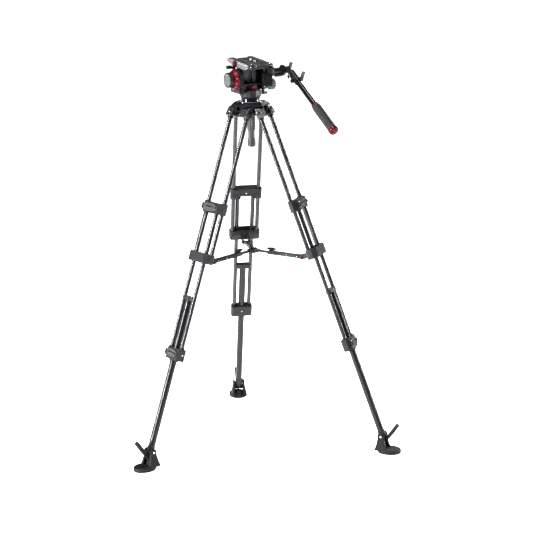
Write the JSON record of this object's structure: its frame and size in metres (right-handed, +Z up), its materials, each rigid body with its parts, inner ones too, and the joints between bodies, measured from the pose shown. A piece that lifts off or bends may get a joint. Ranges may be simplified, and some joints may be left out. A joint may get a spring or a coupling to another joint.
{
  "type": "video tripod with fluid head",
  "caption": "Twin-tube video tripod with mid-level spreader, bowl mount and a fluid head with a sliding camera plate and a long pan bar.",
  "frame": {"origin": "on the floor under the middle of the whole object's plan; the bowl axis is 95 mm towards -Y", "axes": "+Z up, +Y along the rear leg, +X to the right as seen by the operator"},
  "size_m": [1.0318, 0.9914, 1.5023],
  "materials": {
    "crown": "satin black paint",
    "casting": "satin grey paint",
    "collar": "satin grey",
    "carbon": "twill carbon fibre under clear resin",
    "fitting": "satin grey",
    "rubber": "moulded rubber",
    "lever": "satin grey",
    "arm": "satin grey",
    "red_trim": "satin red",
    "black": "gloss black",
    "grip": "ribbed rubber",
    "steel": "turned",
    "plate": "anodised grey",
    "head_casting": "satin dark grey"
  },
  "bodies": {
    "crown": {"crown": "crown"},
    "spreader_hub": {"spreader_hub": "arm"},
    "leg_rear": {"leg_rear_hip": "casting", "leg_rear_upper_tubes": "carbon", "leg_rear_bracket": "casting"},
    "leg_rear_middle": {"leg_rear_collars": "collar", "leg_rear_middle_tubes": "carbon"},
    "leg_rear_lower": {"leg_rear_extension": "carbon", "leg_rear_end": "fitting"},
    "leg_rear_shoe": {"leg_rear_shoe": "rubber"},
    "leg_rear_upper_lever": {"leg_rear_upper_lever": "lever"},
    "leg_rear_lower_lever": {"leg_rear_lower_lever": "lever"},
    "spreader_arm_rear": {"spreader_arm_rear": "arm"},
    "spreader_knob_rear": {"spreader_knob_rear": "lever"},
    "leg_left": {"leg_left_hip": "casting", "leg_left_upper_tubes": "carbon", "leg_left_bracket": "casting"},
    "leg_left_middle": {"leg_left_collars": "collar", "leg_left_middle_tubes": "carbon"},
    "leg_left_lower": {"leg_left_extension": "carbon", "leg_left_end": "fitting"},
    "leg_left_shoe": {"leg_left_shoe": "rubber"},
    "leg_left_upper_lever": {"leg_left_upper_lever": "lever"},
    "leg_left_lower_lever": {"leg_left_lower_lever": "lever"},
    "spreader_arm_left": {"spreader_arm_left": "arm"},
    "spreader_knob_left": {"spreader_knob_left": "lever"},
    "leg_right": {"leg_right_hip": "casting", "leg_right_upper_tubes": "carbon", "leg_right_bracket": "casting"},
    "leg_right_middle": {"leg_right_collars": "collar", "leg_right_middle_tubes": "carbon"},
    "leg_right_lower": {"leg_right_extension": "carbon", "leg_right_end": "fitting"},
    "leg_right_shoe": {"leg_right_shoe": "rubber"},
    "leg_right_upper_lever": {"leg_right_upper_lever": "lever"},
    "leg_right_lower_lever": {"leg_right_lower_lever": "lever"},
    "spreader_arm_right": {"spreader_arm_right": "arm"},
    "spreader_knob_right": {"spreader_knob_right": "lever"},
    "ball": {"half_ball": "black", "head_base": "head_casting"},
    "clamp_handle": {"clamp_handle": "black"},
    "pan_ring": {"pan_ring": "red_trim"},
    "pan_frame": {"yoke": "head_casting", "spring_housing": "black", "drag_cap": "head_casting"},
    "balance_knob": {"balance_knob": "head_casting"},
    "drag_ring": {"drag_ring": "red_trim"},
    "pan_lever": {"pan_lever": "lever"},
    "tilt_lever": {"tilt_lever": "lever"},
    "tilt_head": {"cradle": "head_casting", "platform": "head_casting"},
    "plate": {"plate": "plate", "camera_screws": "steel"},
    "plate_lever": {"plate_lever": "lever"},
    "plate_button": {"plate_button": "red_trim"},
    "bar_arm": {"bar_arm": "head_casting"},
    "bar_tube": {"bar_tube": "black", "bar_grip": "grip"},
    "pivot_wing": {"pivot_wing": "lever"},
    "tube_wing": {"tube_wing": "lever"}
  },
  "joints": [
    {"name": "leg_rear_splay", "type": "hinge", "parent": "crown", "child": "leg_rear", "pos_m": [0, -0.04296, 1.305], "axis": [-1, 0, 0], "range_deg": [0, 15]},
    {"name": "leg_rear_middle_slide", "type": "slide", "parent": "leg_rear", "child": "leg_rear_middle", "axis": [0, -0.3432, 0.9393], "range_m": [-0.145, 0.32]},
    {"name": "leg_rear_lower_slide", "type": "slide", "parent": "leg_rear_middle", "child": "leg_rear_lower", "axis": [0, -0.3432, 0.9393], "range_m": [-0.18, 0.31]},
    {"name": "leg_rear_shoe_swing", "type": "hinge", "parent": "leg_rear_lower", "child": "leg_rear_shoe", "pos_m": [0, 0.42185, 0.06629], "axis": [1, 0, 0], "range_deg": [-20, 20]},
    {"name": "leg_rear_upper_lever_swing", "type": "hinge", "parent": "leg_rear_middle", "child": "leg_rear_upper_lever", "pos_m": [0.042, 0.11278, 0.96266], "axis": [0, 0.3432, -0.9393], "range_deg": [0, 95]},
    {"name": "leg_rear_lower_lever_swing", "type": "hinge", "parent": "leg_rear_middle", "child": "leg_rear_lower_lever", "pos_m": [0.031, 0.31217, 0.43291], "axis": [0, 0.3432, -0.9393], "range_deg": [0, 95]},
    {"name": "spreader_arm_rear_swing", "type": "hinge", "parent": "spreader_hub", "child": "spreader_arm_rear", "pos_m": [0, -0.07826, 0.762], "axis": [-1, 0, 0], "range_deg": [0, 75.54]},
    {"name": "spreader_knob_rear_turn", "type": "hinge", "parent": "spreader_arm_rear", "child": "spreader_knob_rear", "pos_m": [0, -0.02173, 0.76828], "axis": [0, 0.0661, 0.9978], "continuous": true},
    {"name": "leg_left_splay", "type": "hinge", "parent": "crown", "child": "leg_left", "pos_m": [-0.04529, -0.12141, 1.305], "axis": [0.5, -0.866, 0], "range_deg": [0, 15]},
    {"name": "leg_left_middle_slide", "type": "slide", "parent": "leg_left", "child": "leg_left_middle", "axis": [0.2972, 0.1716, 0.9393], "range_m": [-0.145, 0.32]},
    {"name": "leg_left_lower_slide", "type": "slide", "parent": "leg_left_middle", "child": "leg_left_lower", "axis": [0.2972, 0.1716, 0.9393], "range_m": [-0.18, 0.31]},
    {"name": "leg_left_shoe_swing", "type": "hinge", "parent": "leg_left_lower", "child": "leg_left_shoe", "pos_m": [-0.44783, -0.35382, 0.06629], "axis": [-0.5, 0.866, 0], "range_deg": [-20, 20]},
    {"name": "leg_left_upper_lever_swing", "type": "hinge", "parent": "leg_left_middle", "child": "leg_left_upper_lever", "pos_m": [-0.20117, -0.16291, 0.96266], "axis": [-0.2972, -0.1716, -0.9393], "range_deg": [0, 95]},
    {"name": "leg_left_lower_lever_swing", "type": "hinge", "parent": "leg_left_middle", "child": "leg_left_lower_lever", "pos_m": [-0.36835, -0.27214, 0.43291], "axis": [-0.2972, -0.1716, -0.9393], "range_deg": [0, 95]},
    {"name": "spreader_arm_left_swing", "type": "hinge", "parent": "spreader_hub", "child": "spreader_arm_left", "pos_m": [-0.01472, -0.10376, 0.762], "axis": [0.5, -0.866, 0], "range_deg": [0, 75.54]},
    {"name": "spreader_knob_left_turn", "type": "hinge", "parent": "spreader_arm_left", "child": "spreader_knob_left", "pos_m": [-0.06369, -0.13203, 0.76828], "axis": [-0.0573, -0.0331, 0.9978], "continuous": true},
    {"name": "leg_right_splay", "type": "hinge", "parent": "crown", "child": "leg_right", "pos_m": [0.04529, -0.12141, 1.305], "axis": [0.5, 0.866, 0], "range_deg": [0, 15]},
    {"name": "leg_right_middle_slide", "type": "slide", "parent": "leg_right", "child": "leg_right_middle", "axis": [-0.2972, 0.1716, 0.9393], "range_m": [-0.145, 0.32]},
    {"name": "leg_right_lower_slide", "type": "slide", "parent": "leg_right_middle", "child": "leg_right_lower", "axis": [-0.2972, 0.1716, 0.9393], "range_m": [-0.18, 0.31]},
    {"name": "leg_right_shoe_swing", "type": "hinge", "parent": "leg_right_lower", "child": "leg_right_shoe", "pos_m": [0.44783, -0.35382, 0.06629], "axis": [-0.5, -0.866, 0], "range_deg": [-20, 20]},
    {"name": "leg_right_upper_lever_swing", "type": "hinge", "parent": "leg_right_middle", "child": "leg_right_upper_lever", "pos_m": [0.15917, -0.23566, 0.96266], "axis": [0.2972, -0.1716, -0.9393], "range_deg": [0, 95]},
    {"name": "leg_right_lower_lever_swing", "type": "hinge", "parent": "leg_right_middle", "child": "leg_right_lower_lever", "pos_m": [0.33735, -0.32583, 0.43291], "axis": [0.2972, -0.1716, -0.9393], "range_deg": [0, 95]},
    {"name": "spreader_arm_right_swing", "type": "hinge", "parent": "spreader_hub", "child": "spreader_arm_right", "pos_m": [0.01472, -0.10376, 0.762], "axis": [0.5, 0.866, 0], "range_deg": [0, 75.54]},
    {"name": "spreader_knob_right_turn", "type": "hinge", "parent": "spreader_arm_right", "child": "spreader_knob_right", "pos_m": [0.06369, -0.13203, 0.76828], "axis": [0.0573, -0.0331, 0.9978], "continuous": true},
    {"name": "spreader_hub_lift", "type": "slide", "parent": "crown", "child": "spreader_hub", "axis": [0, 0, 1], "range_m": [0, 0.1488]},
    {"name": "ball_level", "type": "hinge", "parent": "crown", "child": "ball", "pos_m": [0, -0.09526, 1.34], "axis": [1, 0, 0], "range_deg": [-8, 8]},
    {"name": "clamp_handle_turn", "type": "hinge", "parent": "ball", "child": "clamp_handle", "pos_m": [0, -0.09526, 1.25], "axis": [0, 0, 1], "continuous": true},
    {"name": "pan_ring_turn", "type": "hinge", "parent": "ball", "child": "pan_ring", "pos_m": [0, -0.09526, 1.395], "axis": [0, 0, 1], "range_deg": [-60, 60]},
    {"name": "pan", "type": "hinge", "parent": "ball", "child": "pan_frame", "pos_m": [0, -0.09526, 1.395], "axis": [0, 0, 1], "continuous": true},
    {"name": "pan_lever_swing", "type": "hinge", "parent": "pan_frame", "child": "pan_lever", "pos_m": [0.04899, -0.08807, 1.375], "axis": [0, 0, 1], "range_deg": [-30, 30]},
    {"name": "drag_ring_turn", "type": "hinge", "parent": "pan_frame", "child": "drag_ring", "pos_m": [-0.07142, -0.12126, 1.426], "axis": [0.9397, 0.342, 0], "range_deg": [-60, 60]},
    {"name": "balance_knob_turn", "type": "hinge", "parent": "pan_frame", "child": "balance_knob", "pos_m": [0.08457, -0.06448, 1.398], "axis": [0.9397, 0.342, 0], "range_deg": [-120, 120]},
    {"name": "tilt_lever_swing", "type": "hinge", "parent": "pan_frame", "child": "tilt_lever", "pos_m": [0.08458, -0.08789, 1.44], "axis": [0.9397, 0.342, 0], "range_deg": [-30, 30]},
    {"name": "tilt", "type": "hinge", "parent": "pan_frame", "child": "tilt_head", "pos_m": [0, -0.09526, 1.426], "axis": [-0.9397, -0.342, 0], "range_deg": [-45, 70]},
    {"name": "plate_slide", "type": "slide", "parent": "tilt_head", "child": "plate", "axis": [-0.3407, 0.9361, 0.0872], "range_m": [-0.04, 0.04]},
    {"name": "plate_lever_swing", "type": "hinge", "parent": "tilt_head", "child": "plate_lever", "pos_m": [-0.06241, -0.09191, 1.46729], "axis": [0.0298, -0.0819, 0.9962], "range_deg": [-20, 25]},
    {"name": "plate_button_press", "type": "slide", "parent": "tilt_head", "child": "plate_button", "axis": [0.9397, 0.342, 0], "range_m": [0, 0.003], "stiffness_N_per_m": 200},
    {"name": "bar_pivot", "type": "hinge", "parent": "tilt_head", "child": "bar_arm", "pos_m": [0.11925, -0.15974, 1.46029], "axis": [-0.9397, -0.342, 0], "range_deg": [0, 100]},
    {"name": "bar_tube_slide", "type": "slide", "parent": "bar_arm", "child": "bar_tube", "axis": [0.2932, -0.8055, -0.515], "range_m": [0, 0.045]},
    {"name": "pivot_wing_turn", "type": "hinge", "parent": "bar_arm", "child": "pivot_wing", "pos_m": [0.13804, -0.1529, 1.46029], "axis": [0.9397, 0.342, 0], "continuous": true},
    {"name": "tube_wing_turn", "type": "hinge", "parent": "bar_arm", "child": "tube_wing", "pos_m": [0.17003, -0.23057, 1.43288], "axis": [0.9397, 0.342, 0], "continuous": true}
  ],
  "couplings": [
    {"joint": "spreader_arm_rear_swing", "follows": "leg_rear_splay", "ratio": 5.0329},
    {"joint": "leg_left_splay", "follows": "leg_rear_splay", "ratio": 1},
    {"joint": "spreader_arm_left_swing", "follows": "leg_rear_splay", "ratio": 5.0329},
    {"joint": "leg_right_splay", "follows": "leg_rear_splay", "ratio": 1},
    {"joint": "spreader_arm_right_swing", "follows": "leg_rear_splay", "ratio": 5.0329},
    {"joint": "spreader_hub_lift", "follows": "leg_rear_splay", "m_per_rad": 0.56761}
  ]
}
